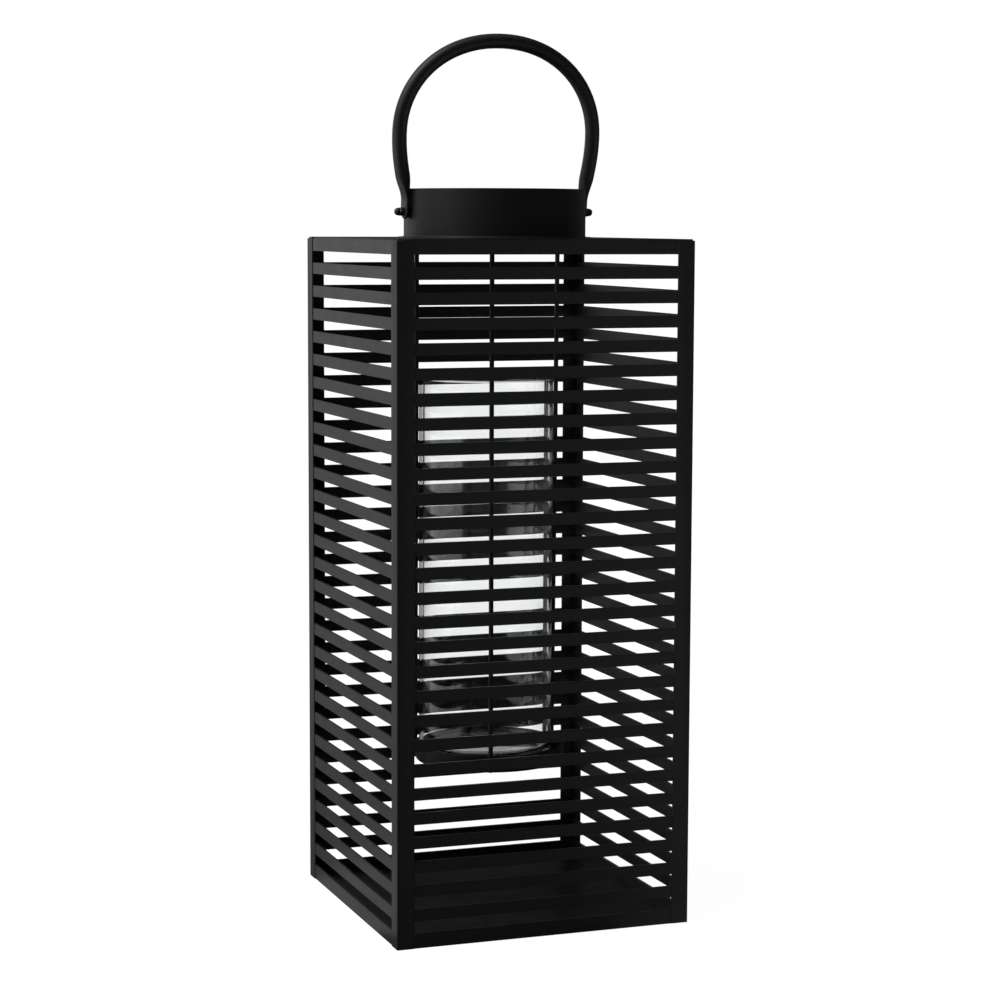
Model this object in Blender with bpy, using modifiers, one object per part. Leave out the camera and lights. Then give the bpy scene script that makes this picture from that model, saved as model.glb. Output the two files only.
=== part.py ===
"""Hurricane candle lantern.

A tall square lantern of black powder-coated steel.  Four corner angles hold
flat-bar grilles on all four sides.  A plain top sheet carries a round collar,
and a bail handle pivots on the collar.  A dish hangs inside on three rods and
holds a clear glass hurricane.

Units are metres, +Z is up.  The origin is the centre of the footprint, on the
surface that the lantern stands on.  The front grille faces -Y.
"""
import math

import bmesh
import bpy
from mathutils import Vector

MM = 0.001
GAP = 0.3                     # clearance left between touching pieces

# ---- driving dimensions, in millimetres ------------------------------------
BODY_W = 260.0                # across the outer faces of the corner angles
BODY_H = 580.0                # floor to the top of the corner angles
ANGLE_LEG = 15.0              # leg of the corner angle
ANGLE_T = 1.5                 # its thickness
ANGLE_R = 2.0                 # outer corner radius

BAR_T = 1.5                   # thickness of the flat bar
RAIL_H = 12.5                 # visible height of the top and bottom rails
SLAT_H = 10.0
SLAT_COUNT = 27

SHEET_T = 1.2                 # top and base sheets
COLLAR_R = 78.0
COLLAR_T = 1.5
COLLAR_TOP = 621.5
FOOT_R = 83.0                 # small foot flange of the collar
FOOT_T = 1.0

PIVOT_Z = 602.0
TUBE_R = 6.25                 # handle tube
LEAN = math.radians(5.0)      # the handle stands a little towards the front
TAB_X = 81.0                  # middle of the flattened handle ends
TAB_T = 3.0
TAB_W = 17.0
TAB_DROP = 6.0                # how far a flattened end reaches below the pivot
ARCH_A = 87.5                 # half width of the arch, on the tube's centreline
ARCH_Z = 667.0                # height of its widest point
ARCH_B = 79.5                 # rise of the arch above that
ARCH_N = 2.08                  # exponent of its outline

SCREW_R = 2.0                 # M4 pivot screws
SCREW_HOLE_R = 2.4
WASHER_R = 5.0
WASHER_T = 0.9
NUT_AF = 7.0                  # across the flats of the dome nut
NUT_HEX_H = 3.2
NUT_END = 90.3                # tip of the dome, from the centre plane

ROD_R = 2.0
ROD_TOP_Z = 611.0
# bearing of each rod in the collar and at the dish, degrees
ROD_ANGLES = {"front": (248.5, 251.0), "left": (135.5, 147.5), "right": (21.5, 15.0)}

TRAY_X, TRAY_Y = -2.8, 1.0    # the dish hangs a little off the axis
TRAY_R = 65.0
TRAY_T = 1.2
TRAY_Z0, TRAY_Z1 = 126.0, 141.0

GLASS_X, GLASS_Y = -6.4, 2.4  # the glass stands loose in the dish
GLASS_R = 58.0
GLASS_T = 2.5
GLASS_BASE = 10.0
GLASS_TOP = 460.5


# ---- scene ------------------------------------------------------------------
for old in list(bpy.data.objects):
    bpy.data.objects.remove(old, do_unlink=True)


def collection(name):
    col = bpy.data.collections.new(name)
    bpy.context.scene.collection.children.link(col)
    return col


LANTERN = collection("hurricane_candle_lantern")
CUTTERS = collection("cutters")


def material(name, color, roughness, metallic=0.0, alpha=1.0, transmission=0.0):
    mat = bpy.data.materials.new(name)
    mat.use_nodes = True
    bsdf = mat.node_tree.nodes["Principled BSDF"]
    bsdf.inputs["Base Color"].default_value = (*color, 1.0)
    bsdf.inputs["Roughness"].default_value = roughness
    bsdf.inputs["Metallic"].default_value = metallic
    bsdf.inputs["Alpha"].default_value = alpha
    bsdf.inputs["Transmission Weight"].default_value = transmission
    return mat


BLACK = (0.012, 0.012, 0.013)
FINISH = {
    "coat": dict(color=BLACK, roughness=0.45),
    "hardware": dict(color=(0.015, 0.015, 0.016), roughness=0.35, metallic=0.2),
    "glass": dict(color=(0.92, 0.95, 0.95), roughness=0.03, alpha=0.35,
                  transmission=1.0),
}


def finish(obj, kind):
    """Gives the object its own material and files it with the lantern."""
    obj.data.materials.clear()
    obj.data.materials.append(material(obj.name, **FINISH[kind]))
    for col in list(obj.users_collection):
        col.objects.unlink(obj)
    LANTERN.objects.link(obj)
    return obj


def as_cutter(obj):
    for col in list(obj.users_collection):
        col.objects.unlink(obj)
    CUTTERS.objects.link(obj)
    obj.hide_render = True
    obj.display_type = "WIRE"
    return obj


def smooth(obj, angle=35.0):
    obj.data.shade_smooth()
    obj.data.set_sharp_from_angle(angle=math.radians(angle))


def boolean(obj, cutter, operation="DIFFERENCE"):
    mod = obj.modifiers.new(operation.title(), "BOOLEAN")
    mod.operation = operation
    mod.solver = "EXACT"
    mod.object = cutter
    return mod


def box(name, low, high, kind="coat"):
    """A rectangular bar between two corners given in millimetres."""
    size = [(b - a) * MM for a, b in zip(low, high)]
    mid = [(a + b) / 2 * MM for a, b in zip(low, high)]
    bpy.ops.mesh.primitive_cube_add(size=1.0, location=mid)
    obj = bpy.context.active_object
    obj.name = name
    obj.data.name = name
    obj.scale = size
    bpy.ops.object.transform_apply(location=False, rotation=False, scale=True)
    return finish(obj, kind)


def curve_2d(name, loops, thickness):
    """A flat outline, with any inner loops as holes, given thickness."""
    curve = bpy.data.curves.new(name, "CURVE")
    curve.dimensions = "2D"
    curve.fill_mode = "BOTH"
    curve.extrude = thickness * MM / 2
    for loop in loops:
        spline = curve.splines.new("POLY")
        spline.points.add(len(loop) - 1)
        for point, (x, y) in zip(spline.points, loop):
            point.co = (x * MM, y * MM, 0.0, 1.0)
        spline.use_cyclic_u = True
    obj = bpy.data.objects.new(name, curve)
    LANTERN.objects.link(obj)
    return obj


def to_mesh(obj, merge=1e-6):
    """Turns a curve object into a mesh object with its seams welded."""
    bpy.context.view_layer.update()
    graph = bpy.context.evaluated_depsgraph_get()
    mesh = bpy.data.meshes.new_from_object(obj.evaluated_get(graph))
    bm = bmesh.new()
    bm.from_mesh(mesh)
    bmesh.ops.remove_doubles(bm, verts=bm.verts, dist=merge)
    bmesh.ops.recalc_face_normals(bm, faces=bm.faces)
    bm.to_mesh(mesh)
    bm.free()
    name = obj.name
    new = bpy.data.objects.new(name + "_mesh", mesh)
    LANTERN.objects.link(new)
    new.matrix_world = obj.matrix_world.copy()
    bpy.data.objects.remove(obj, do_unlink=True)
    new.name = name
    mesh.name = name
    return new


def turned(name, profile, steps, centre=(0.0, 0.0), closed=False):
    """Revolves an (r, z) profile in millimetres about a vertical axis."""
    mesh = bpy.data.meshes.new(name)
    obj = bpy.data.objects.new(name, mesh)
    LANTERN.objects.link(obj)
    bm = bmesh.new()
    verts = [bm.verts.new((r * MM, 0.0, z * MM)) for r, z in profile]
    for a, b in zip(verts, verts[1:]):
        bm.edges.new((a, b))
    if closed:
        bm.edges.new((verts[-1], verts[0]))
    bm.to_mesh(mesh)
    bm.free()
    screw = obj.modifiers.new("Turn", "SCREW")
    screw.axis = "Z"
    screw.angle = math.tau
    screw.steps = steps
    screw.render_steps = steps
    screw.use_merge_vertices = True
    screw.merge_threshold = 1e-6
    screw.use_smooth_shade = True
    obj.location = (centre[0] * MM, centre[1] * MM, 0.0)
    return obj


def cylinder_x(name, radius, x0, x1, z, sides=16):
    """A cylinder along X between x0 and x1, in millimetres."""
    bpy.ops.mesh.primitive_cylinder_add(
        vertices=sides, radius=radius * MM, depth=abs(x1 - x0) * MM,
        location=((x0 + x1) / 2 * MM, 0.0, z * MM),
        rotation=(0.0, math.pi / 2, 0.0))
    obj = bpy.context.active_object
    obj.name = name
    obj.data.name = name
    return obj


# ---- corner angles ----------------------------------------------------------
HALF = BODY_W / 2


def angle_outline():
    """L section of the front-left corner, heel at the origin."""
    pts = [(ANGLE_LEG, 0.0), (ANGLE_LEG, ANGLE_T), (ANGLE_T, ANGLE_T),
           (ANGLE_T, ANGLE_LEG), (0.0, ANGLE_LEG)]
    for i in range(5):
        a = math.pi + i * math.pi / 2 / 4
        pts.append((ANGLE_R + ANGLE_R * math.cos(a),
                    ANGLE_R + ANGLE_R * math.sin(a)))
    return pts


for name, (sx, sy) in {"front_left": (-1, -1), "front_right": (1, -1),
                       "back_left": (-1, 1), "back_right": (1, 1)}.items():
    outline = [(x - HALF, y - HALF) for x, y in angle_outline()]
    outline = [(-sx * x, -sy * y) for x, y in outline]
    if sx * sy < 0:
        outline.reverse()
    post = curve_2d("corner_post_" + name, [outline], BODY_H)
    post.location = (0.0, 0.0, BODY_H / 2 * MM)
    finish(to_mesh(post), "coat")

# ---- rails and grilles ------------------------------------------------------
OUT = HALF - ANGLE_T - GAP          # outer face of the bars, behind the angles
INN = OUT - BAR_T                   # inner face of the bars
SIDE = INN - GAP                    # half length of the left and right bars
LEG = HALF - ANGLE_LEG              # inner edge of an angle's leg
RAIL_TOP = BODY_H - SHEET_T - GAP   # the top rails carry the top sheet
OPEN_LOW, OPEN_HIGH = RAIL_H, BODY_H - RAIL_H
SLAT_GAP = (OPEN_HIGH - OPEN_LOW - SLAT_COUNT * SLAT_H) / (SLAT_COUNT + 1)


def rails(level, z0, z1):
    box(f"{level}_rail_front", (-OUT, -OUT, z0), (OUT, -INN, z1))
    box(f"{level}_rail_back", (-OUT, INN, z0), (OUT, OUT, z1))
    box(f"{level}_rail_left", (-OUT, -SIDE, z0), (-INN, SIDE, z1))
    box(f"{level}_rail_right", (INN, -SIDE, z0), (OUT, SIDE, z1))


rails("top", OPEN_HIGH, RAIL_TOP)
rails("bottom", 0.0, RAIL_H)


def grille_loops(half):
    """Outline and slots of one grille: its bars end in strips that stand
    behind the legs of the corner angles."""
    z0, z1 = OPEN_LOW + GAP, OPEN_HIGH - GAP
    edge = LEG + GAP
    low = OPEN_LOW + SLAT_GAP                   # underside of the lowest bar
    high = OPEN_HIGH - SLAT_GAP                 # top of the highest bar
    loops = [[(-half, z0), (-edge, z0), (-edge, low), (edge, low), (edge, z0),
              (half, z0), (half, z1), (edge, z1), (edge, high), (-edge, high),
              (-edge, z1), (-half, z1)]]
    for i in range(SLAT_COUNT - 1):
        a = low + SLAT_H + i * (SLAT_H + SLAT_GAP)
        b = a + SLAT_GAP
        loops.append([(-edge, a), (-edge, b), (edge, b), (edge, a)])
    return loops


for name, half, place, turn in (
        ("front", OUT, (0.0, -(OUT + INN) / 2), 0.0),
        ("back", OUT, (0.0, (OUT + INN) / 2), 0.0),
        ("left", SIDE, (-(OUT + INN) / 2, 0.0), math.pi / 2),
        ("right", SIDE, ((OUT + INN) / 2, 0.0), math.pi / 2)):
    panel = curve_2d(f"{name}_slat_panel", grille_loops(half), BAR_T)
    panel.rotation_euler = (math.pi / 2, 0.0, turn)
    panel.location = (place[0] * MM, place[1] * MM, 0.0)
    finish(to_mesh(panel), "coat")


# ---- sheets -----------------------------------------------------------------
def circle(radius, steps):
    return [(radius * math.cos(i * math.tau / steps),
             radius * math.sin(i * math.tau / steps)) for i in range(steps)]


TURN_STEPS = 48
BORE_R = COLLAR_R - COLLAR_T
square = [(-OUT, -OUT), (OUT, -OUT), (OUT, OUT), (-OUT, OUT)]
top = curve_2d("top_plate", [square, circle(BORE_R, TURN_STEPS)[::-1]], SHEET_T)
top.location = (0.0, 0.0, (BODY_H - SHEET_T / 2) * MM)
finish(to_mesh(top), "coat")

box("base_plate", (-SIDE, -SIDE, 0.0), (SIDE, SIDE, SHEET_T))

# ---- collar -----------------------------------------------------------------
FOOT_Z = BODY_H + GAP
collar = turned("collar", [
    (COLLAR_R - 0.4, COLLAR_TOP), (COLLAR_R, COLLAR_TOP - 0.4),
    (COLLAR_R, FOOT_Z + FOOT_T), (FOOT_R, FOOT_Z + FOOT_T), (FOOT_R, FOOT_Z),
    (BORE_R, FOOT_Z), (BORE_R, COLLAR_TOP - 0.4), (BORE_R + 0.4, COLLAR_TOP)],
    TURN_STEPS, closed=True)
finish(collar, "coat")
pivot_hole = as_cutter(cylinder_x("collar_pivot_hole", SCREW_HOLE_R,
                                  -HALF, HALF, PIVOT_Z))
boolean(collar, pivot_hole)


# ---- bail handle ------------------------------------------------------------
def arch(t):
    """Centreline of the arch from its widest point (t = 0) to its top."""
    c, s = math.cos(t * math.pi / 2), math.sin(t * math.pi / 2)
    p = 2.0 / ARCH_N
    return ARCH_A * c ** p if c > 1e-9 else 0.0, ARCH_Z + ARCH_B * s ** p


def bezier(p0, p1, p2, p3, t):
    u = 1.0 - t
    return tuple(u ** 3 * a + 3 * u * u * t * b + 3 * u * t * t * c + t ** 3 * d
                 for a, b, c, d in zip(p0, p1, p2, p3))


def half_handle():
    """(x, z, half thickness, half width, squareness) from an end to the top."""
    rings = []
    low = PIVOT_Z - TAB_DROP
    round_h = 6.5
    for i in range(5):                              # rounded lower end
        a = i / 4
        f = math.sqrt(1.0 - (1.0 - a) ** 2 * 0.9)
        rings.append((TAB_X, low + a * round_h, TAB_T / 2, TAB_W / 2 * f, 4.0))
    straight = PIVOT_Z + 9.0
    rings.append((TAB_X, straight, TAB_T / 2, TAB_W / 2, 4.0))
    leg = 10                                        # flat to round, and outwards
    for i in range(1, leg + 1):
        t = i / leg
        x, z = bezier((TAB_X, straight), (TAB_X, straight + 16.0),
                      (ARCH_A, ARCH_Z - 26.0), (ARCH_A, ARCH_Z), t)
        k = min(1.0, (z - straight) / 22.0)
        k = k * k * (3.0 - 2.0 * k)
        rings.append((x, z, TAB_T / 2 + (TUBE_R - TAB_T / 2) * k,
                      TAB_W / 2 + (TUBE_R - TAB_W / 2) * k, 4.0 - 2.0 * k))
    steps = 14
    for i in range(1, steps + 1):
        x, z = arch(i / steps)
        rings.append((x, z, TUBE_R, TUBE_R, 2.0))
    return rings


HANDLE_SIDES = 16


def superellipse(a, b, n, k):
    t = k * math.tau / HANDLE_SIDES
    c, s = math.cos(t), math.sin(t)
    p = 2.0 / n
    return (a * math.copysign(abs(c) ** p, c), b * math.copysign(abs(s) ** p, s))


def handle_mesh():
    """Loft from a flat rounded end to a round tube and back to a flat end."""
    half = half_handle()
    path = [(-x, z, a, b, n) for x, z, a, b, n in half]
    path += [(x, z, a, b, n) for x, z, a, b, n in reversed(half[:-1])]
    bm = bmesh.new()
    rings = []
    for i, (x, z, a, b, n) in enumerate(path):
        prev, nxt = path[max(i - 1, 0)], path[min(i + 1, len(path) - 1)]
        tangent = Vector((nxt[0] - prev[0], 0.0, nxt[1] - prev[1])).normalized()
        normal = Vector((0.0, 1.0, 0.0)).cross(tangent)
        ring = []
        for k in range(HANDLE_SIDES):
            u, v = superellipse(a, b, n, k)
            ring.append(bm.verts.new((Vector((x, 0.0, z)) + normal * u
                                      + Vector((0.0, v, 0.0))) * MM))
        rings.append(ring)
    for r0, r1 in zip(rings, rings[1:]):
        for k in range(HANDLE_SIDES):
            j = (k + 1) % HANDLE_SIDES
            bm.faces.new((r0[k], r0[j], r1[j], r1[k]))
    bm.faces.new(rings[0])
    bm.faces.new(rings[-1])
    bmesh.ops.recalc_face_normals(bm, faces=bm.faces)
    mesh = bpy.data.meshes.new("handle")
    bm.to_mesh(mesh)
    bm.free()
    # the origin sits on the hinge line, and the arch leans towards -Y
    for vert in mesh.vertices:
        y, z = vert.co.y, vert.co.z - PIVOT_Z * MM
        vert.co.y = y * math.cos(LEAN) - z * math.sin(LEAN)
        vert.co.z = y * math.sin(LEAN) + z * math.cos(LEAN)
    return mesh


handle = bpy.data.objects.new("handle", handle_mesh())
handle.location = (0.0, 0.0, PIVOT_Z * MM)
LANTERN.objects.link(handle)
finish(handle, "coat")
smooth(handle, 40.0)
boolean(handle, as_cutter(cylinder_x("handle_pivot_hole", SCREW_HOLE_R,
                                     -HALF, HALF, PIVOT_Z)))

# ---- pivot hardware ---------------------------------------------------------
HEAD_X = BORE_R - GAP               # underside of the screw head, in the collar
HEAD_T = 2.2
WASHER_X = COLLAR_R + GAP
NUT_X = TAB_X + TAB_T / 2 + GAP     # seat of the dome nut
NUT_BORE_END = NUT_X + 5.0


def pivot_screw(name, side):
    """Pan-head screw turned about X, head inside the collar."""
    profile = [(0.0, HEAD_X - HEAD_T), (2.6, HEAD_X - HEAD_T),
               (3.5, HEAD_X - HEAD_T + 0.7), (3.8, HEAD_X - HEAD_T + 1.5),
               (3.8, HEAD_X), (SCREW_R, HEAD_X),
               (SCREW_R, NUT_BORE_END - 0.8), (SCREW_R - 0.4, NUT_BORE_END - GAP),
               (0.0, NUT_BORE_END - GAP)]
    return axial(name, profile, side)


def axial(name, profile, side, steps=16):
    """A turned piece whose axis is X: the (r, x) profile runs outwards."""
    obj = turned(name, [(r, x) for r, x in reversed(profile)], steps)
    obj.rotation_euler = (0.0, side * math.pi / 2, 0.0)
    obj.location = (0.0, 0.0, PIVOT_Z * MM)
    return obj


def dome_nut(name, side):
    """Hexagonal base with a domed cap and a blind hole for the screw."""
    dome_r = NUT_AF / 2 * 0.93
    centre = NUT_END - dome_r
    profile = [(0.0, NUT_X + 0.6), (dome_r, NUT_X + 0.6), (dome_r, centre)]
    for i in range(1, 6):
        a = i * math.pi / 2 / 6
        profile.append((dome_r * math.cos(a), centre + dome_r * math.sin(a)))
    profile.append((0.0, NUT_END))
    obj = axial(name, profile, side, 24)
    hexa = cylinder_x(name + "_hex", NUT_AF / math.sqrt(3.0), side * NUT_X,
                      side * (NUT_X + NUT_HEX_H), PIVOT_Z, sides=6)
    boolean(obj, as_cutter(hexa), "UNION")
    bore = cylinder_x(name + "_bore", SCREW_HOLE_R, side * (NUT_X - 2.0),
                      side * NUT_BORE_END, PIVOT_Z)
    boolean(obj, as_cutter(bore))
    return obj


for side, word in ((-1, "left"), (1, "right")):
    finish(pivot_screw(f"pivot_screw_{word}", side), "hardware")
    ring = [(SCREW_HOLE_R, WASHER_X), (WASHER_R, WASHER_X),
            (WASHER_R, WASHER_X + WASHER_T), (SCREW_HOLE_R, WASHER_X + WASHER_T)]
    washer = turned(f"pivot_washer_{word}", list(reversed(ring)), 24, closed=True)
    washer.rotation_euler = (0.0, side * math.pi / 2, 0.0)
    washer.location = (0.0, 0.0, PIVOT_Z * MM)
    finish(washer, "hardware")
    finish(dome_nut(f"dome_nut_{word}", side), "hardware")


# ---- hanging dish and glass -------------------------------------------------
def rod(name, bearing_top, bearing_low):
    """Straight rod from inside the collar to the side of the dish."""
    a, b = math.radians(bearing_top), math.radians(bearing_low)
    r_top = BORE_R - GAP - ROD_R
    r_low = TRAY_R + GAP + ROD_R
    top_end = Vector((r_top * math.cos(a), r_top * math.sin(a), ROD_TOP_Z))
    low_end = Vector((TRAY_X + r_low * math.cos(b), TRAY_Y + r_low * math.sin(b),
                      TRAY_Z0 + 1.0))
    span = top_end - low_end
    bpy.ops.mesh.primitive_cylinder_add(
        vertices=12, radius=ROD_R * MM, depth=span.length * MM,
        location=(top_end + low_end) / 2 * MM,
        rotation=span.to_track_quat("Z", "Y").to_euler())
    obj = bpy.context.active_object
    obj.name = name
    obj.data.name = name
    finish(obj, "coat")
    smooth(obj)
    return obj


for word, (bearing_top, bearing_low) in ROD_ANGLES.items():
    rod(f"hanger_rod_{word}", bearing_top, bearing_low)

tray = turned("holder_tray", [
    (0.0, TRAY_Z0 + TRAY_T), (TRAY_R - TRAY_T - 1.0, TRAY_Z0 + TRAY_T),
    (TRAY_R - TRAY_T, TRAY_Z0 + TRAY_T + 1.0), (TRAY_R - TRAY_T, TRAY_Z1),
    (TRAY_R, TRAY_Z1), (TRAY_R, TRAY_Z0 + 2.0), (TRAY_R - 2.0, TRAY_Z0),
    (0.0, TRAY_Z0)], TURN_STEPS, centre=(TRAY_X, TRAY_Y))
finish(tray, "coat")

GLASS_Z0 = TRAY_Z0 + TRAY_T + GAP
glass = turned("glass_cylinder", [
    (0.0, GLASS_Z0 + GLASS_BASE), (GLASS_R - GLASS_T - 3.0, GLASS_Z0 + GLASS_BASE),
    (GLASS_R - GLASS_T, GLASS_Z0 + GLASS_BASE + 3.0),
    (GLASS_R - GLASS_T, GLASS_TOP - 0.8), (GLASS_R - GLASS_T + 0.8, GLASS_TOP),
    (GLASS_R - 0.8, GLASS_TOP), (GLASS_R, GLASS_TOP - 0.8),
    (GLASS_R, GLASS_Z0 + 3.0), (GLASS_R - 3.0, GLASS_Z0), (0.0, GLASS_Z0)],
    TURN_STEPS, centre=(GLASS_X, GLASS_Y))
finish(glass, "glass")
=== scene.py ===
"""Looks of the hurricane candle lantern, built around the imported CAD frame."""

import math
import random

import bmesh
import bpy
from mathutils import Matrix, Vector


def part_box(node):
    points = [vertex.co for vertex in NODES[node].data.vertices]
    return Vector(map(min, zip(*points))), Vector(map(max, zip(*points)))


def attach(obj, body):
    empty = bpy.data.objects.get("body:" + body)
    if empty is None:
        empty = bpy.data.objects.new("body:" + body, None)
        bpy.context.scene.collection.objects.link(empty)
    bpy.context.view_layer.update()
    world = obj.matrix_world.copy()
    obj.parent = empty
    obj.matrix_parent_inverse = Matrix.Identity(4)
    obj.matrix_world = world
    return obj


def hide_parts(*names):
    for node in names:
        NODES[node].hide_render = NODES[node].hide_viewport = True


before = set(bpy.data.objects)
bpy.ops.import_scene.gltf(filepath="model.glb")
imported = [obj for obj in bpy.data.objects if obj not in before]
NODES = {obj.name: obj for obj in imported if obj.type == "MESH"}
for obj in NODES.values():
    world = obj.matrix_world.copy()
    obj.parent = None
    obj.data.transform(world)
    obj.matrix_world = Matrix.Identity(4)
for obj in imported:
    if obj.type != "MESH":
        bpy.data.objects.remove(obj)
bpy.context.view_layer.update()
MM = 0.001
random.seed(7)


# =============================================================== materials ==
class Graph:
    """A short way to write a material's nodes."""

    def __init__(self, name):
        self.mat = bpy.data.materials.new(name)
        self.mat.use_nodes = True
        self.nodes = self.mat.node_tree.nodes
        self.links = self.mat.node_tree.links
        self.bsdf = self.nodes["Principled BSDF"]

    def add(self, kind, inputs=None, **props):
        node = self.nodes.new(kind)
        for key, value in props.items():
            setattr(node, key, value)
        for key, value in (inputs or {}).items():
            if hasattr(value, "is_output"):
                self.links.new(value, node.inputs[key])
            else:
                node.inputs[key].default_value = value
        return node

    def link(self, out, socket):
        self.links.new(out, socket)

    def coords(self):
        return self.add("ShaderNodeTexCoord").outputs["Object"]

    def noise(self, scale, detail=3.0, rough=0.5, vector=None):
        node = self.add("ShaderNodeTexNoise", {"Scale": scale, "Detail": detail,
                                               "Roughness": rough})
        if vector is not None:
            self.link(vector, node.inputs["Vector"])
        return node.outputs["Fac"]

    def ramp(self, fac, stops):
        node = self.add("ShaderNodeValToRGB", {"Fac": fac})
        elements = node.color_ramp.elements
        while len(elements) < len(stops):
            elements.new(0.5)
        for element, (pos, col) in zip(elements, stops):
            element.position = pos
            element.color = (*col, 1.0) if len(col) == 3 else col
        return node.outputs["Color"]

    def remap(self, value, a, b, c, d):
        return self.add("ShaderNodeMapRange", {
            "Value": value, "From Min": a, "From Max": b,
            "To Min": c, "To Max": d}).outputs["Result"]

    def math(self, op, a, b=0.0):
        node = self.add("ShaderNodeMath", {0: a, 1: b}, operation=op)
        return node.outputs[0]


def powder_coat(name, dark, light, rough, texture=1.0, specular=0.5):
    """Black polyester powder coat: orange peel, a fine grain, faint handling
    marks and a slightly thinner, glossier film on the edges."""
    g = Graph(name)
    co = g.coords()
    cloud = g.noise(9.0, 4.0, 0.55, co)           # slow change in film and dust
    fine = g.noise(420.0, 2.0, 0.5, co)           # pigment grain
    mix = g.math("ADD", g.math("MULTIPLY", cloud, 0.65),
                 g.math("MULTIPLY", fine, 0.35))
    colour = g.ramp(mix, [(0.32, dark), (0.72, light)])
    edge = g.remap(g.add("ShaderNodeNewGeometry").outputs["Pointiness"],
                   0.53, 0.60, 0.0, 1.0)
    worn = g.add("ShaderNodeMix", {"Factor": g.math("MULTIPLY", edge, 0.5)},
                 data_type="RGBA")
    g.link(colour, worn.inputs[6])
    worn.inputs[7].default_value = (light[0] * 2.2, light[1] * 2.2,
                                    light[2] * 2.2, 1.0)
    g.link(worn.outputs[2], g.bsdf.inputs["Base Color"])
    smear = g.noise(34.0, 5.0, 0.6, co)
    r = g.math("ADD", g.remap(smear, 0.3, 0.7, rough - 0.045, rough + 0.045),
               g.math("MULTIPLY", edge, -0.06))
    g.link(r, g.bsdf.inputs["Roughness"])
    g.bsdf.inputs["Specular IOR Level"].default_value = specular
    peel = g.noise(620.0, 2.0, 0.45, co)          # orange peel, about 1.5 mm
    grain = g.noise(2600.0, 1.0, 0.5, co)         # powder grain, about 0.4 mm
    height = g.math("ADD", g.math("MULTIPLY", peel, 0.7),
                    g.math("MULTIPLY", grain, 0.3))
    bump = g.add("ShaderNodeBump", {"Strength": 0.35 * texture,
                                    "Distance": 0.00012, "Height": height})
    g.link(bump.outputs["Normal"], g.bsdf.inputs["Normal"])
    return g.mat


def clear_glass(name):
    """Clear blown glass: very slight waves, a breath of dust, a cool tint."""
    g = Graph(name)
    co = g.coords()
    stretch = g.add("ShaderNodeMapping", {"Vector": co, "Scale": (1.0, 1.0, 0.35)})
    wave = g.noise(13.0, 1.0, 0.4, stretch.outputs["Vector"])
    bump = g.add("ShaderNodeBump", {"Strength": 0.10, "Distance": 0.0006,
                                    "Height": wave})
    g.link(bump.outputs["Normal"], g.bsdf.inputs["Normal"])
    dust = g.noise(150.0, 5.0, 0.65, co)
    g.link(g.remap(dust, 0.52, 0.80, 0.0, 0.05), g.bsdf.inputs["Roughness"])
    tint = g.ramp(g.noise(7.0, 2.0, 0.5, co),
                  [(0.3, (0.955, 0.975, 0.97)), (0.7, (0.975, 0.985, 0.98))])
    g.link(tint, g.bsdf.inputs["Base Color"])
    g.bsdf.inputs["Transmission Weight"].default_value = 1.0
    g.bsdf.inputs["IOR"].default_value = 1.5
    return g.mat


COAT = powder_coat("black_powder_coat", (0.0105, 0.0105, 0.0110),
                   (0.0165, 0.0165, 0.0170), 0.46)
COAT_TUBE = powder_coat("black_powder_coat_tube", (0.0105, 0.0105, 0.0110),
                        (0.0160, 0.0160, 0.0165), 0.42, 0.8)
COAT_SHEET = powder_coat("black_powder_coat_sheet", (0.0105, 0.0105, 0.0110),
                         (0.0165, 0.0165, 0.0170), 0.44, 0.8, 0.30)
HARDWARE = powder_coat("black_hardware_finish", (0.010, 0.010, 0.0105),
                       (0.020, 0.020, 0.0205), 0.30, 0.3, 0.6)
GLASS = clear_glass("clear_glass")


# ================================================================== tools ==
def mesh_object(name, bm, mat, body, replaces=(), angle=35.0,
                bevel=None, segments=2, flat=False):
    """Makes a piece from a bmesh in metres and hands it to the frame."""
    bmesh.ops.recalc_face_normals(bm, faces=bm.faces)
    mesh = bpy.data.meshes.new(name)
    bm.to_mesh(mesh)
    bm.free()
    obj = bpy.data.objects.new(name, mesh)
    bpy.context.scene.collection.objects.link(obj)
    mesh.materials.append(mat)
    mesh.shade_smooth()
    mesh.set_sharp_from_angle(angle=math.radians(angle))
    if bevel:
        mod = obj.modifiers.new("Edges", "BEVEL")
        mod.width = bevel * MM
        mod.segments = segments
        mod.limit_method = "ANGLE"
        mod.angle_limit = math.radians(40)
        mod.harden_normals = True
    if flat:
        mod = obj.modifiers.new("Flat faces", "WEIGHTED_NORMAL")
        mod.mode = "FACE_AREA"
        mod.weight = 90
        mod.keep_sharp = True
    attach(obj, body)
    if replaces:
        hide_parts(*replaces)
    return obj


def revolve(bm, profile, steps, matrix=None, closed=False):
    """Adds a turned shape: profile is (r, z) in millimetres, and points with
    r = 0 are poles."""
    rings = []
    for r, z in profile:
        if r < 1e-6:
            rings.append([bm.verts.new((0.0, 0.0, z * MM))])
        else:
            rings.append([bm.verts.new((r * MM * math.cos(i * math.tau / steps),
                                        r * MM * math.sin(i * math.tau / steps),
                                        z * MM)) for i in range(steps)])
    pairs = list(zip(rings, rings[1:]))
    if closed:
        pairs.append((rings[-1], rings[0]))
    for a, b in pairs:
        for i in range(steps):
            j = (i + 1) % steps
            if len(a) == 1 and len(b) == 1:
                continue
            if len(a) == 1:
                bm.faces.new((a[0], b[i], b[j]))
            elif len(b) == 1:
                bm.faces.new((a[i], a[j], b[0]))
            else:
                bm.faces.new((a[i], a[j], b[j], b[i]))
    verts = [v for ring in rings for v in ring]
    if matrix is not None:
        bmesh.ops.transform(bm, matrix=matrix, verts=verts)
    return verts


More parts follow.
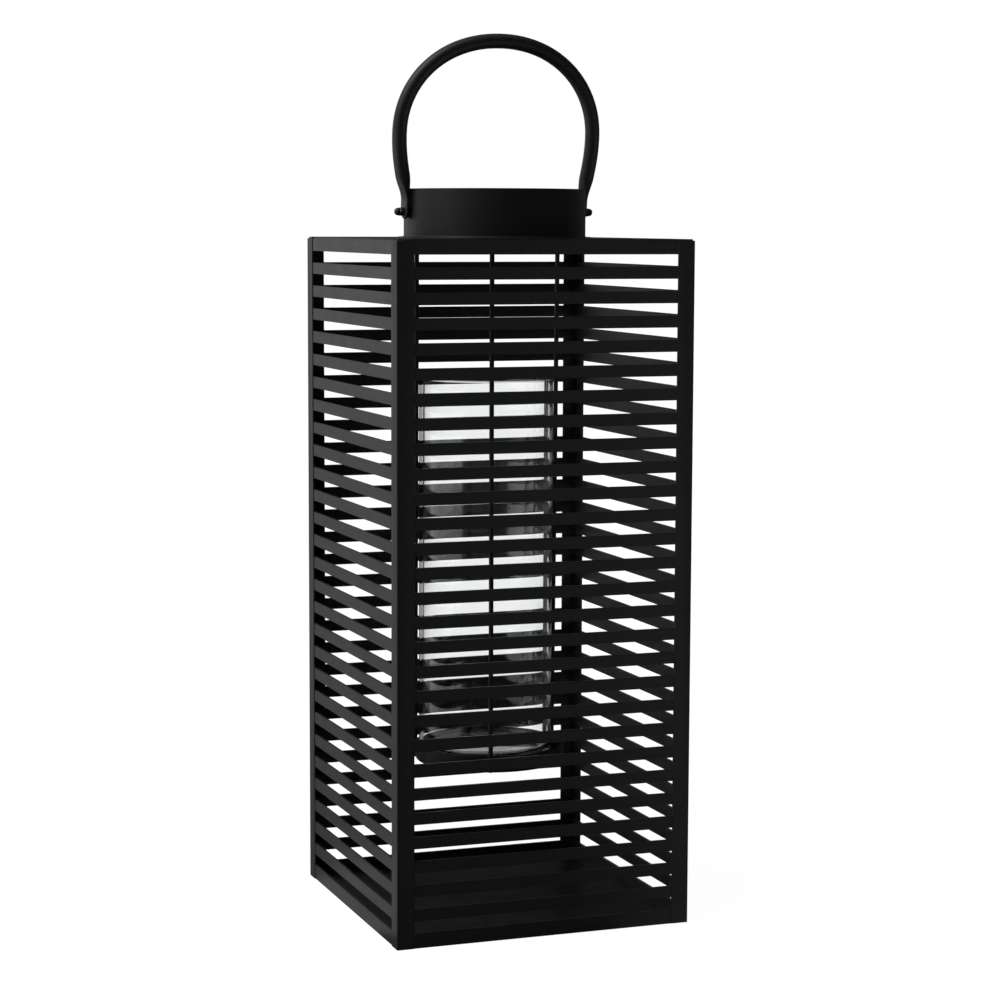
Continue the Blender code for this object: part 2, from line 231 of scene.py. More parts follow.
def arc(cx, cz, r, a0, a1, n):
    """Points on a circular arc, angles in degrees."""
    return [(cx + r * math.cos(math.radians(a0 + (a1 - a0) * i / n)),
             cz + r * math.sin(math.radians(a0 + (a1 - a0) * i / n)))
            for i in range(n + 1)]


def prism(bm, outline, z0, z1):
    """Extrudes an (x, y) outline in millimetres between two heights."""
    low = [bm.verts.new((x * MM, y * MM, z0 * MM)) for x, y in outline]
    high = [bm.verts.new((x * MM, y * MM, z1 * MM)) for x, y in outline]
    n = len(outline)
    for i in range(n):
        j = (i + 1) % n
        bm.faces.new((low[i], low[j], high[j], high[i]))
    bm.faces.new(low[::-1])
    bm.faces.new(high)
    return low + high


def rounded_bar(bm, start, end, up, height, thick, radius, steps=3, end_round=0.3):
    """A flat bar between two points: rounded mill edges, eased ends.
    All lengths in millimetres."""
    start, end, up = Vector(start), Vector(end), Vector(up).normalized()
    along = (end - start).normalized()
    side = along.cross(up).normalized()
    outline = []
    h, t = height / 2 - radius, thick / 2 - radius
    for cx, cy, a in ((t, h, 0), (-t, h, 90), (-t, -h, 180), (t, -h, 270)):
        for i in range(steps + 1):
            r = math.radians(a + 90 * i / steps)
            outline.append((cx + radius * math.cos(r), cy + radius * math.sin(r)))
    length = (end - start).length
    rings = []
    for s, shrink in ((0.0, end_round), (end_round, 0.0),
                      (length - end_round, 0.0), (length, end_round)):
        ring = []
        for x, y in outline:
            kx = (thick / 2 - shrink) / (thick / 2)
            ky = (height / 2 - shrink) / (height / 2)
            p = start + along * s + side * (x * kx) + up * (y * ky)
            ring.append(bm.verts.new(p * MM))
        rings.append(ring)
    n = len(outline)
    for a, b in zip(rings, rings[1:]):
        for i in range(n):
            j = (i + 1) % n
            bm.faces.new((a[i], a[j], b[j], b[i]))
    bm.faces.new(rings[0][::-1])
    bm.faces.new(rings[-1])


def weld_bead(bm, start, end, radius, rng, sides=8):
    """A short run of weld: overlapping ripples along a line, closed at both
    ends.  Millimetres."""
    start, end = Vector(start), Vector(end)
    along = (end - start)
    length = along.length
    along.normalize()
    ref = Vector((0, 0, 1)) if abs(along.z) < 0.9 else Vector((1, 0, 0))
    u = along.cross(ref).normalized()
    v = along.cross(u).normalized()
    n = max(6, int(length / (radius * 0.42)))
    rings = []
    for i in range(n + 1):
        t = i / n
        cap = math.sin(math.pi * min(1.0, max(0.0, t)))
        r = radius * (min(1.0, cap * 2.6) ** 0.5)
        r *= 1.0 + 0.10 * math.sin(i * 2.4) + rng.uniform(-0.05, 0.05)
        r = max(r, radius * 0.12)
        c = start + along * (length * t)
        rings.append([bm.verts.new((c + u * (r * math.cos(k * math.tau / sides))
                                    + v * (r * math.sin(k * math.tau / sides))) * MM)
                      for k in range(sides)])
    for a, b in zip(rings, rings[1:]):
        for i in range(sides):
            j = (i + 1) % sides
            bm.faces.new((a[i], a[j], b[j], b[i]))
    bm.faces.new(rings[0][::-1])
    bm.faces.new(rings[-1])


def box_mm(node):
    low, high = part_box(node)
    return Vector(low) / MM, Vector(high) / MM


# ================================================= sizes read from the frame ==
post_low, post_high = box_mm("corner_post_front_left")
HALF = -post_low.x                       # outer face of the corner angles
TOP = post_high.z
LEG = post_high.x - post_low.x
ANGLE_T = 1.5
bar_low, bar_high = box_mm("front_slat_panel")
OUT = -bar_low.y                         # outer face of the bars
INN = -bar_high.y                        # inner face of the bars
rail_low, rail_high = box_mm("top_rail_front")
OPEN_HIGH = rail_low.z
bottom_low, bottom_high = box_mm("bottom_rail_front")
OPEN_LOW = bottom_high.z
plate_low, plate_high = box_mm("top_plate")
SHEET_Z = plate_low.z

# heights of the slats, from the grille's own corners
levels = sorted({round(v.co.z / MM, 2) for v in NODES["front_slat_panel"].data.vertices})
levels = levels[1:-1]
SLATS = list(zip(levels[0::2], levels[1::2]))


# ============================================================ corner angles ==
def angle_outline():
    r_out, r_in, tip = 0.9, 0.7, 0.25
    t = ANGLE_T
    pts = []
    pts += arc(LEG - tip, tip, tip, 270, 360, 2)
    pts += arc(LEG - tip, t - tip, tip, 0, 90, 2)
    pts += arc(t + r_in, t + r_in, r_in, 270, 180, 4)
    pts += arc(t - tip, LEG - tip, tip, 0, 90, 2)
    pts += arc(tip, LEG - tip, tip, 90, 180, 2)
    pts += arc(r_out, r_out, r_out, 180, 270, 7)
    return pts


def ease_top(bm, sx, sy, drop):
    """Grinds the outer corner of a post's top round, as after cutting."""
    for v in bm.verts:
        z = v.co.z / MM
        if z < TOP - 0.01:
            continue
        # how far this point is from the corner's two outer faces
        gap = min(HALF - sx * v.co.x / MM, 4.0), min(HALF - sy * v.co.y / MM, 4.0)
        near = 1.0 - math.hypot(*gap) / math.hypot(4.0, 4.0)
        v.co.z = (TOP - drop * near * near) * MM


for name, (sx, sy) in {"front_left": (-1, -1), "front_right": (1, -1),
                       "back_left": (-1, 1), "back_right": (1, 1)}.items():
    bm = bmesh.new()
    pts = [(-sx * (x - HALF), -sy * (y - HALF)) for x, y in angle_outline()]
    prism(bm, pts, 0.0, TOP)
    ease_top(bm, sx, sy, 2.4)
    mesh_object(f"post_{name}", bm, COAT, "lantern",
                [f"corner_post_{name}"], bevel=0.3, segments=3, flat=True)

# ====================================================== rails, bars and sheets ==
SIDE = {"front": (0, -1), "back": (0, 1), "left": (-1, 0), "right": (1, 0)}


def bar_on(bm, side, z0, z1, radius=0.4):
    """One flat bar on a face, between two heights."""
    mid = (OUT + INN) / 2 + 0.0
    thick = OUT - INN
    z = (z0 + z1) / 2
    ax, ay = SIDE[side]
    if ay:
        a, b = (-OUT - 0.2, ay * mid, z), (OUT + 0.2, ay * mid, z)
    else:
        a, b = (ax * mid, -INN, z), (ax * mid, INN, z)
    rounded_bar(bm, a, b, (0, 0, 1), z1 - z0, thick, radius)
    # the part between the legs of the angles comes flush with them
    low, high, reach = OUT - 0.4, HALF - 0.6, HALF - LEG - 0.06
    mid, thick = (low + high) / 2, high - low
    if ay:
        a, b = (-reach, ay * mid, z), (reach, ay * mid, z)
    else:
        a, b = (ax * mid, -reach, z), (ax * mid, reach, z)
    rounded_bar(bm, a, b, (0, 0, 1), z1 - z0 + 0.06, thick, 0.35, end_round=0.1)


for side in SIDE:
    bm = bmesh.new()
    for z0, z1 in SLATS:
        bar_on(bm, side, z0, z1)
    mesh_object(f"slat_bars_{side}", bm, COAT, "lantern",
                [f"{side}_slat_panel"], angle=50, flat=True)
    bm = bmesh.new()
    bar_on(bm, side, OPEN_HIGH, SHEET_Z + 0.05)
    mesh_object(f"rail_top_{side}", bm, COAT, "lantern",
                [f"top_rail_{side}"], angle=50, flat=True)
    bm = bmesh.new()
    bar_on(bm, side, 0.0, OPEN_LOW)
    mesh_object(f"rail_bottom_{side}", bm, COAT, "lantern",
                [f"bottom_rail_{side}"], angle=50, flat=True)

# welds in the four inner corners, one short run at each bar
rng = random.Random(11)
for name, (sx, sy) in {"front_left": (-1, -1), "front_right": (1, -1),
                       "back_left": (-1, 1), "back_right": (1, 1)}.items():
    bm = bmesh.new()
    for z0, z1 in [(1.5, OPEN_LOW)] + SLATS + [(OPEN_HIGH, SHEET_Z)]:
        x, y = sx * (INN - 0.1), sy * (INN - 0.1)
        weld_bead(bm, (x, y, z0 + 0.6), (x, y, z1 - 0.6), 1.25, rng)
    mesh_object(f"corner_welds_{name}", bm, COAT, "lantern")


def sheet(name, node, half, hole_r, z0, z1, bevel):
    bm = bmesh.new()
    corner = 0.8
    outer = []
    for cx, cy, a in ((1, 1, 0), (-1, 1, 90), (-1, -1, 180), (1, -1, 270)):
        outer += arc(cx * (half - corner), cy * (half - corner), corner, a, a + 90, 3)
    if hole_r:
        n = 144
        hole = [(hole_r * math.cos(i * math.tau / n), hole_r * math.sin(i * math.tau / n))
                for i in range(n)]
        for z, flip in ((z0, True), (z1, False)):
            loops = []
            for loop in (outer, hole):
                vs = [bm.verts.new((x * MM, y * MM, z * MM)) for x, y in loop]
                es = [bm.edges.new((vs[i], vs[(i + 1) % len(vs)])) for i in range(len(vs))]
                loops.append((vs, es))
            bmesh.ops.triangle_fill(bm, use_beauty=True,
                                    edges=[e for _, es in loops for e in es])
            if z == z0:
                low = [vs for vs, _ in loops]
            else:
                high = [vs for vs, _ in loops]
        for a, b in zip(low, high):
            for i in range(len(a)):
                j = (i + 1) % len(a)
                bm.faces.new((a[i], a[j], b[j], b[i]))
    else:
        prism(bm, outer, z0, z1)
    return mesh_object(name, bm, COAT_SHEET, "lantern", [node],
                       bevel=bevel, segments=2)


collar_low, collar_high = box_mm("collar")
FOOT_R = collar_high.x
COLLAR_TOP = collar_high.z
COLLAR_R, COLLAR_T = 78.0, 1.5
BORE_R = COLLAR_R - COLLAR_T
sheet("top_sheet", "top_plate", OUT + 0.25, BORE_R, SHEET_Z, TOP, 0.3)
base_low, base_high = box_mm("base_plate")
sheet("base_sheet", "base_plate", INN + 0.05, 0.0, 0.0, base_high.z, 0.25)

# seam welds where the base sheet meets the bottom rails, seen from inside
bm = bmesh.new()
for ax, ay in SIDE.values():
    for s in (-78, -26, 26, 78):
        if ay:
            a, b = (s - 9, ay * INN, base_high.z), (s + 9, ay * INN, base_high.z)
        else:
            a, b = (ax * INN, s - 9, base_high.z), (ax * INN, s + 9, base_high.z)
        weld_bead(bm, a, b, 1.0, rng)
mesh_object("base_welds", bm, COAT, "lantern")

# =================================================================== collar ==
bm = bmesh.new()
foot_t = 1.0
profile = []
profile += arc(COLLAR_R - 0.7, COLLAR_TOP - 0.7, 0.7, 90, 0, 4)
profile += arc(COLLAR_R + 1.2, TOP + foot_t + 1.2, 1.2, 180, 270, 5)
profile += arc(FOOT_R - 0.45, TOP + foot_t - 0.45, 0.45, 90, 0, 3)
profile += [(FOOT_R, TOP + 0.02), (BORE_R, TOP + 0.02)]
profile += arc(BORE_R + 0.7, COLLAR_TOP - 0.7, 0.7, 180, 90, 4)
revolve(bm, profile, 160, closed=True)
mesh_object("collar_ring", bm, COAT_SHEET, "lantern", ["collar"],
            angle=50)

# ============================================================== bail handle ==
screw_low, screw_high = box_mm("pivot_screw_right")
PIVOT_Z = (screw_low.z + screw_high.z) / 2
handle_low, handle_high = box_mm("handle")
TUBE_R = 6.25
TAB_X, TAB_T, TAB_W, TAB_DROP = 81.0, 3.0, 17.0, 6.0
ARCH_Z, ARCH_N = 667.0, 2.08
ARCH_A = handle_high.x - TUBE_R
ARCH_B = 79.5
LEAN = math.radians(5.0)      # the handle stands a little towards the front


def arch(t):
    c, s = math.cos(t * math.pi / 2), math.sin(t * math.pi / 2)
    p = 2.0 / ARCH_N
    return ARCH_A * c ** p if c > 1e-9 else 0.0, ARCH_Z + ARCH_B * s ** p


def bezier(p0, p1, p2, p3, t):
    u = 1.0 - t
    return tuple(u ** 3 * a + 3 * u * u * t * b + 3 * u * t * t * c + t ** 3 * d
                 for a, b, c, d in zip(p0, p1, p2, p3))


def half_handle():
    """(x, z, half thickness, half width, squareness) from an end to the top."""
    rings = []
    low = PIVOT_Z - TAB_DROP
    for i in range(11):
        a = i / 10
        f = math.sqrt(max(0.0, 1.0 - (1.0 - a) ** 2 * 0.985))
        thin = 1.0 - 0.45 * (1.0 - a) ** 3
        rings.append((TAB_X, low + a * 6.5, TAB_T / 2 * thin, TAB_W / 2 * f, 4.0))
    straight = PIVOT_Z + 9.0
    for i in (1, 2):
        rings.append((TAB_X, low + 6.5 + (straight - low - 6.5) * i / 2,
                      TAB_T / 2, TAB_W / 2, 4.0))
    leg = 26
    for i in range(1, leg + 1):
        t = i / leg
        x, z = bezier((TAB_X, straight), (TAB_X, straight + 16.0),
                      (ARCH_A, ARCH_Z - 26.0), (ARCH_A, ARCH_Z), t)
        k = min(1.0, (z - straight) / 22.0)
        k = k * k * (3.0 - 2.0 * k)
        rings.append((x, z, TAB_T / 2 + (TUBE_R - TAB_T / 2) * k,
                      TAB_W / 2 + (TUBE_R - TAB_W / 2) * k, 4.0 - 2.0 * k))
    steps = 40
    for i in range(1, steps + 1):
        x, z = arch(i / steps)
        rings.append((x, z, TUBE_R, TUBE_R, 2.0))
    return rings


def superellipse(a, b, n, k, sides):
    t = k * math.tau / sides
    c, s = math.cos(t), math.sin(t)
    p = 2.0 / n
    return (a * math.copysign(abs(c) ** p, c), b * math.copysign(abs(s) ** p, s))


half = half_handle()
path = [(-x, z, a, b, n) for x, z, a, b, n in half]
path += [(x, z, a, b, n) for x, z, a, b, n in reversed(half[:-1])]
SIDES = 40
bm = bmesh.new()
rings = []
for i, (x, z, a, b, n) in enumerate(path):
    prev, nxt = path[max(i - 1, 0)], path[min(i + 1, len(path) - 1)]
    tangent = Vector((nxt[0] - prev[0], 0.0, nxt[1] - prev[1])).normalized()
    normal = Vector((0.0, 1.0, 0.0)).cross(tangent)
    ring = []
    for k in range(SIDES):
        u, v = superellipse(a, b, n, k, SIDES)
        ring.append(bm.verts.new((Vector((x, 0.0, z)) + normal * u
                                  + Vector((0.0, v, 0.0))) * MM))
    rings.append(ring)
for r0, r1 in zip(rings, rings[1:]):
    for k in range(SIDES):
        j = (k + 1) % SIDES
        bm.faces.new((r0[k], r0[j], r1[j], r1[k]))
bm.faces.new(rings[0])
bm.faces.new(rings[-1])
bmesh.ops.transform(bm, verts=bm.verts, matrix=(
    Matrix.Translation((0.0, 0.0, PIVOT_Z * MM)) @ Matrix.Rotation(LEAN, 4, "X")
    @ Matrix.Translation((0.0, 0.0, -PIVOT_Z * MM))))
mesh_object("handle_tube", bm, COAT_TUBE, "bail_handle",
            ["handle"], angle=60)


# =========================================================== pivot hardware ==
def along_x(side):
    """Turns a shape made along +Z so that it points out along X."""
    return (Matrix.Translation((0.0, 0.0, PIVOT_Z * MM))
            @ Matrix.Rotation(side * math.pi / 2, 4, "Y"))


nut_low, nut_high = box_mm("dome_nut_right")
washer_low, washer_high = box_mm("pivot_washer_right")
for side, word in ((-1, "left"), (1, "right")):
    turn = along_x(side)
    # dome nut: chamfered hexagon, thin waist line, domed cap
    bm = bmesh.new()
    base, tip = nut_low.x, nut_high.x
    af = (nut_high.z - nut_low.z)
    dome_r = af / 2 * 0.93
    hex_h = 3.2
    corner_r = af / math.sqrt(3.0)
    hexa = []
    for z, r in ((base, corner_r - 0.35), (base + 0.3, corner_r),
                 (base + hex_h - 0.45, corner_r), (base + hex_h, corner_r - 0.5)):
        hexa.append([bm.verts.new((r * MM * math.cos(math.radians(60 * i + 30)),
                                   r * MM * math.sin(math.radians(60 * i + 30)),
                                   z * MM)) for i in range(6)])
    for a, b in zip(hexa, hexa[1:]):
        for i in range(6):
            j = (i + 1) % 6
            bm.faces.new((a[i], a[j], b[j], b[i]))
    bm.faces.new(hexa[0][::-1])
    bm.faces.new(hexa[-1])
    dome = [(0.0, base + hex_h - 0.6), (dome_r - 0.25, base + hex_h - 0.6),
            (dome_r - 0.25, base + hex_h + 0.1), (dome_r, base + hex_h + 0.4)]
    centre = tip - dome_r
    dome += arc(0.0, centre, dome_r, 0, 84, 12)
    dome += [(0.0, tip)]
    revolve(bm, dome, 40)
    bmesh.ops.transform(bm, matrix=turn, verts=bm.verts)
    mesh_object(f"acorn_nut_{word}", bm, HARDWARE, "lantern",
                [f"dome_nut_{word}"], angle=40)
    # washer, eased on both faces
    bm = bmesh.new()
    w0, w1 = washer_low.x, washer_high.x
    r1 = (washer_high.z - washer_low.z) / 2
    revolve(bm, [(2.2, w0), (r1 - 0.2, w0), (r1, w0 + 0.2), (r1, w1 - 0.2),
                 (r1 - 0.2, w1), (2.2, w1)], 48, turn, closed=True)
    mesh_object(f"washer_{word}", bm, HARDWARE, "lantern",
                [f"pivot_washer_{word}"], angle=40)
    # pan-head screw with a cross recess, head inside the collar
    bm = bmesh.new()
    head = screw_low.x if side > 0 else screw_low.x
    seat = BORE_R - 0.02
    top_z = seat - 2.2
    prof = [(0.0, top_z + 0.05), (1.6, top_z), (2.9, top_z + 0.25),
            (3.6, top_z + 0.9), (3.8, top_z + 1.6), (3.8, seat - 0.15),
            (3.65, seat), (2.0, seat), (2.0, base + 4.6), (0.0, base + 4.6)]
    revolve(bm, prof, 40, turn)
    mesh_object(f"screw_{word}", bm, HARDWARE, "lantern",
                [f"pivot_screw_{word}"], angle=40)
    bm = bmesh.new()
    for rot in (0, 90):
        c, s = math.cos(math.radians(rot)), math.sin(math.radians(rot))
        u, v = Vector((c, s, 0)), Vector((-s, c, 0))
        quad = [u * 1.9 + v * 0.35, -u * 1.9 + v * 0.35,
                -u * 1.9 - v * 0.35, u * 1.9 - v * 0.35]
        lowv = [bm.verts.new((p + Vector((0, 0, top_z - 0.03))) * MM) for p in quad]
        highv = [bm.verts.new((p * 0.6 + Vector((0, 0, top_z + 0.9))) * MM) for p in quad]
        for i in range(4):
            j = (i + 1) % 4
            bm.faces.new((lowv[i], lowv[j], highv[j], highv[i]))
        bm.faces.new(lowv[::-1])
        bm.faces.new(highv)
    bmesh.ops.transform(bm, matrix=turn, verts=bm.verts)
    bmesh.ops.recalc_face_normals(bm, faces=bm.faces)
    mesh = bpy.data.meshes.new(f"recess_{word}")
    bm.to_mesh(mesh)
    bm.free()
    cutter = bpy.data.objects.new(f"recess_{word}", mesh)
    bpy.context.scene.collection.objects.link(cutter)
    screw = bpy.data.objects[f"screw_{word}"]
    mod = screw.modifiers.new("Recess", "BOOLEAN")
    mod.operation = "DIFFERENCE"
    mod.solver = "EXACT"
    mod.use_self = True
    mod.object = cutter
    bpy.context.view_layer.update()
    graph = bpy.context.evaluated_depsgraph_get()
    cut = bpy.data.meshes.new_from_object(screw.evaluated_get(graph))
    screw.modifiers.remove(mod)
    screw.data = cut
    bpy.data.objects.remove(cutter, do_unlink=True)

# ===================================================== hanging rods and dish ==
tray_low, tray_high = box_mm("holder_tray")
TRAY_C = (tray_low + tray_high) / 2
TRAY_R = (tray_high.x - tray_low.x) / 2
ROD_R = 2.0
for word in ("front", "left", "right"):
    mesh = NODES[f"hanger_rod_{word}"].data
    pts = [v.co / MM for v in mesh.vertices]
    zs = [p.z for p in pts]
    mid = (min(zs) + max(zs)) / 2
    ends = []
    for group in ([p for p in pts if p.z < mid], [p for p in pts if p.z > mid]):
        ends.append(sum(group, Vector()) / len(group))
    low_end, top_end = ends
    along = (top_end - low_end).normalized()
    length = (top_end - low_end).length
    turn = (Matrix.Translation(low_end * MM)
            @ along.to_track_quat("Z", "Y").to_matrix().to_4x4())
    bm = bmesh.new()
    prof = [(0.0, 0.0)] + arc(ROD_R - 0.5, 0.5, 0.5, 270, 360, 3)
    prof += [(ROD_R, length * f) for f in (0.1, 0.3, 0.5, 0.7, 0.9)]
    prof += arc(ROD_R - 0.5, length - 0.5, 0.5, 0, 90, 3) + [(0.0, length)]
    revolve(bm, prof, 20, turn)
    mesh_object(f"rod_{word}", bm, COAT, "lantern",
                [f"hanger_rod_{word}"], angle=50)
    # welds: two short runs beside the rod in the collar, two at the dish
    bm = bmesh.new()
    out = Vector((top_end.x, top_end.y, 0)).normalized()
    tang = Vector((-out.y, out.x, 0))
    for s in (-1, 1):
        p = top_end + out * 1.5 + tang * (s * 1.7)
        weld_bead(bm, p + Vector((0, 0, -16)), p + Vector((0, 0, -2)), 1.0, rng)
    inward = (Vector((TRAY_C.x, TRAY_C.y, 0)) - Vector((low_end.x, low_end.y, 0))).normalized()
    tang = Vector((-inward.y, inward.x, 0))
    for s in (-1, 1):
        p = low_end + inward * 1.7 + tang * (s * 1.7)
        weld_bead(bm, p + Vector((0, 0, 2.5)), p + Vector((0, 0, 12.5)), 1.0, rng)
    mesh_object(f"rod_welds_{word}", bm, COAT, "lantern")

bm = bmesh.new()
z0, z1, t = tray_low.z, tray_high.z, 1.2
turn = Matrix.Translation((TRAY_C.x * MM, TRAY_C.y * MM, 0.0))
profile = [(0.0, z0 + t), (TRAY_R - 16, z0 + t), (TRAY_R - t - 3.2, z0 + t)]
profile += arc(TRAY_R - t - 1.6, z0 + t + 1.6, 1.6, 270, 360, 5)
profile += [(TRAY_R - t, z1 - 1.2)]
profile += arc(TRAY_R - t / 2, z1 - t / 2, t / 2, 180, 0, 8)
profile += arc(TRAY_R - 2.8, z0 + 2.8, 2.8, 0, -90, 7)
profile += [(TRAY_R - 16, z0), (0.0, z0)]
revolve(bm, profile, 144, turn)
mesh_object("dish", bm, COAT_SHEET, "lantern", ["holder_tray"],
            angle=50)

# ==================================================================== glass ==
glass_low, glass_high = box_mm("glass_cylinder")
GLASS_C = (glass_low + glass_high) / 2
R = (glass_high.x - glass_low.x) / 2
g0, g1, wall, floor_t = glass_low.z, glass_high.z, 2.5, 10.0
turn = Matrix.Translation((GLASS_C.x * MM, GLASS_C.y * MM, 0.0))
bm = bmesh.new()
ri = R - wall
profile = [(0.0, g0 + floor_t + 1.0), (14.0, g0 + floor_t + 0.9),
           (28.0, g0 + floor_t + 0.5), (ri - 9.0, g0 + floor_t + 0.1)]
profile += arc(ri - 6.0, g0 + floor_t + 6.0, 6.0, 270, 360, 9)
profile += [(ri, g0 + 40), (ri, g0 + 120), (ri, g0 + 220), (ri, g1 - 12),
            (ri, g1 - 1.8)]
profile += arc(R - wall / 2, g1 - wall / 2, wall / 2, 180, 0, 12)
profile += [(R, g1 - 1.8), (R, g1 - 12), (R, g0 + 220), (R, g0 + 120),
            (R, g0 + 40)]
profile += arc(R - 4.5, g0 + 4.5, 4.5, 0, -90, 8)
profile += [(R - 10.0, g0), (R - 14.0, g0 + 0.5), (R - 22.0, g0 + 1.0),
            (0.0, g0 + 1.2)]
revolve(bm, profile, 160, turn)
mesh_object("glass_hurricane", bm, GLASS, "glass",
            ["glass_cylinder"], angle=60)

# ==================================================================== stage ==
scene = bpy.context.scene
scene.view_settings.view_transform = "Standard"
scene.view_settings.look = "None"
scene.view_settings.exposure = 0.0
scene.view_settings.gamma = 1.0

# direction on the floor, cosines where the glow starts and is full, strength
FLOOR_GLOW = (((-0.99, 0.10), 0.78, 0.86, 0.85), ((-0.40, 0.92), 0.55, 0.95, 0.20),
              ((0.74, -0.67), 0.88, 1.0, 0.42))
bpy.ops.mesh.primitive_plane_add(size=60.0, location=(0.0, 0.0, -0.0004))
floor = bpy.context.active_object
floor.name = "studio_floor"
g = Graph("pale_floor")
out = g.nodes["Material Output"]
g.nodes.remove(g.bsdf)
diffuse = g.add("ShaderNodeBsdfDiffuse", {"Color": (0.13, 0.13, 0.13, 1.0)})
glow = g.add("ShaderNodeEmission", {"Color": (1.0, 1.0, 1.0, 1.0)})
path_node = g.add("ShaderNodeLightPath")
straight = g.math("LESS_THAN", g.math("ADD", path_node.outputs["Glossy Depth"],
                                      path_node.outputs["Diffuse Depth"]), 0.5)
seen = g.math("MAXIMUM", path_node.outputs["Is Camera Ray"],
              g.math("MULTIPLY", path_node.outputs["Is Transmission Ray"], straight))
# what the floor sends back: bright to the left and behind, dark in front
place = g.add("ShaderNodeTexCoord")
way = g.add("ShaderNodeVectorMath", {})
way.operation = "NORMALIZE"
g.link(place.outputs["Object"], way.inputs[0])
sheen = 0.0
for (dx, dy), lo, hi, value in FLOOR_GLOW:
    dot = g.add("ShaderNodeVectorMath", {})
    dot.operation = "DOT_PRODUCT"
    g.link(way.outputs["Vector"], dot.inputs[0])
    dot.inputs[1].default_value = Vector((dx, dy, 0.0)).normalized()
    ramp = g.add("ShaderNodeMapRange", {"From Min": lo, "From Max": hi,
                                        "To Min": 0.0, "To Max": value})
    ramp.interpolation_type = "SMOOTHSTEP"
    g.link(dot.outputs["Value"], ramp.inputs["Value"])
    sheen = g.math("ADD", sheen, ramp.outputs["Result"])
away = g.add("ShaderNodeVectorMath", {}, operation="LENGTH")
g.link(place.outputs["Object"], away.inputs[0])
fade = g.add("ShaderNodeMapRange", {"From Min": 0.35, "From Max": 1.3,
                                    "To Min": 0.30, "To Max": 1.0})
g.link(away.outputs["Value"], fade.inputs["Value"])
sheen = g.math("MULTIPLY", sheen, fade.outputs["Result"])
dim = g.math("SUBTRACT", 1.0, seen)
g.link(g.math("ADD", g.math("MULTIPLY", seen, 0.97), g.math("MULTIPLY", sheen, dim)),
       glow.inputs["Strength"])
both = g.add("ShaderNodeAddShader")
g.link(diffuse.outputs[0], both.inputs[0])
g.link(glow.outputs[0], both.inputs[1])
g.link(both.outputs[0], out.inputs["Surface"])
floor.data.materials.append(g.mat)

# the studio: white to look at, a large soft source on the left, dim in front
world = bpy.data.worlds.new("studio")
scene.world = world
world.use_nodes = True
wn, wl = world.node_tree.nodes, world.node_tree.links
wn.clear()
w_out = wn.new("ShaderNodeOutputWorld")
w_bg = wn.new("ShaderNodeBackground")
w_bg.inputs["Color"].default_value = (1.0, 1.0, 1.0, 1.0)
w_co = wn.new("ShaderNodeTexCoord")
w_path = wn.new("ShaderNodeLightPath")


def w_math(op, a, b=0.0, c=None, clamp=False):
    node = wn.new("ShaderNodeMath")
    node.operation = op
    node.use_clamp = clamp
    for i, v in enumerate((a, b, c)):
        if v is None:
            continue
        if hasattr(v, "is_output"):
            wl.new(v, node.inputs[i])
        else:
            node.inputs[i].default_value = v
    return node.outputs[0]


def toward(direction, lo, hi, value):
    """A soft source in one direction of the world."""
    d = Vector(direction).normalized()
    node = wn.new("ShaderNodeVectorMath")
    node.operation = "DOT_PRODUCT"
    wl.new(w_co.outputs["Generated"], node.inputs[0])
    node.inputs[1].default_value = d
    ramp = wn.new("ShaderNodeMapRange")
    ramp.interpolation_type = "SMOOTHSTEP"
    ramp.inputs["From Min"].default_value = lo
    ramp.inputs["From Max"].default_value = hi
    ramp.inputs["To Min"].default_value = 0.0
    ramp.inputs["To Max"].default_value = value
    wl.new(node.outputs["Value"], ramp.inputs["Value"])
    return ramp.outputs["Result"]


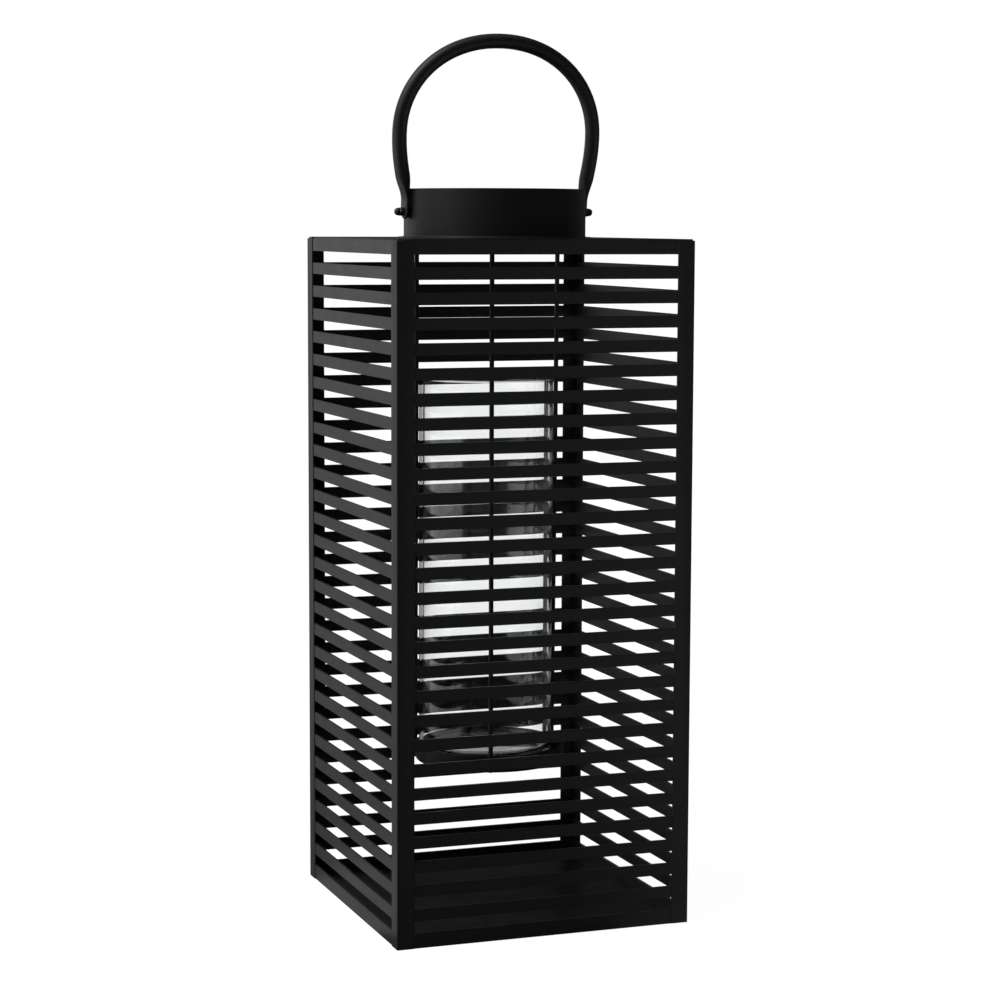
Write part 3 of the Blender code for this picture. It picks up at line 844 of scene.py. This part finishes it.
# direction, cosines where the source starts and is full, strength
SOURCES = (
    ((-1.0, 0.0, 0.0), 0.788, 1.0, 0.22),
    ((-0.643, 0.0, 0.766), 0.788, 1.0, 2.50),
    ((-0.45, 0.893, 0.0), 0.770, 1.0, 0.74),
    ((0.766, 0.643, 0.0), 0.788, 1.0, 0.06),
    ((1.0, 0.0, 0.0), 0.788, 1.0, 0.04),
    ((0.0, 0.0, 1.0), 0.700, 1.0, 0.32),
    ((0.0, 0.766, 0.643), 0.788, 1.0, 0.15),
)
light = 0.025
for direction, lo, hi, value in SOURCES:
    light = w_math("ADD", light, toward(direction, lo, hi, value))
straight = w_math("LESS_THAN", w_math("ADD", w_path.outputs["Glossy Depth"],
                                      w_path.outputs["Diffuse Depth"]), 0.5)
seen = w_math("MAXIMUM", w_path.outputs["Is Camera Ray"],
              w_math("MULTIPLY", w_path.outputs["Is Transmission Ray"], straight))
dim = w_math("SUBTRACT", 1.0, seen)
# what the edges of the glass gather from the left
within = w_math("MULTIPLY", w_math("GREATER_THAN", w_path.outputs["Transmission Depth"], 0.5),
                w_math("GREATER_THAN", w_path.outputs["Glossy Depth"], 0.5))
edge_light = w_math("MULTIPLY", within, toward((-0.55, 0.83, 0.0), 0.10, 0.70, 1.0))
light = w_math("ADD", light, edge_light)
strength = w_math("ADD", w_math("MULTIPLY", light, dim), seen)
wl.new(strength, w_bg.inputs["Strength"])
wl.new(w_bg.outputs[0], w_out.inputs["Surface"])
world.cycles.sampling_method = "NONE"

# =================================================================== camera ==
F_PX = 2557.228
CAM = Vector((-0.754588, -2.075408, 0.595000))
YAW, PITCH, ROLL = 0.351218, 0.108960, 0.003547
forward = Vector((math.sin(YAW), math.cos(YAW), 0.0))
right = Vector((math.cos(YAW), -math.sin(YAW), 0.0))
up = Vector((0.0, 0.0, 1.0))
fw = forward * math.cos(PITCH) - up * math.sin(PITCH)
up2 = forward * math.sin(PITCH) + up * math.cos(PITCH)
rt = right * math.cos(ROLL) + up2 * math.sin(ROLL)
up3 = -right * math.sin(ROLL) + up2 * math.cos(ROLL)
cam_data = bpy.data.cameras.new("camera")
cam = bpy.data.objects.new("camera", cam_data)
scene.collection.objects.link(cam)
cam_data.sensor_width = 36.0
cam_data.lens = F_PX * 36.0 / 1000.0
cam_data.clip_start, cam_data.clip_end = 0.05, 100.0
cam.matrix_world = Matrix((
    (rt.x, up3.x, -fw.x, CAM.x),
    (rt.y, up3.y, -fw.y, CAM.y),
    (rt.z, up3.z, -fw.z, CAM.z),
    (0.0, 0.0, 0.0, 1.0)))
scene.camera = cam
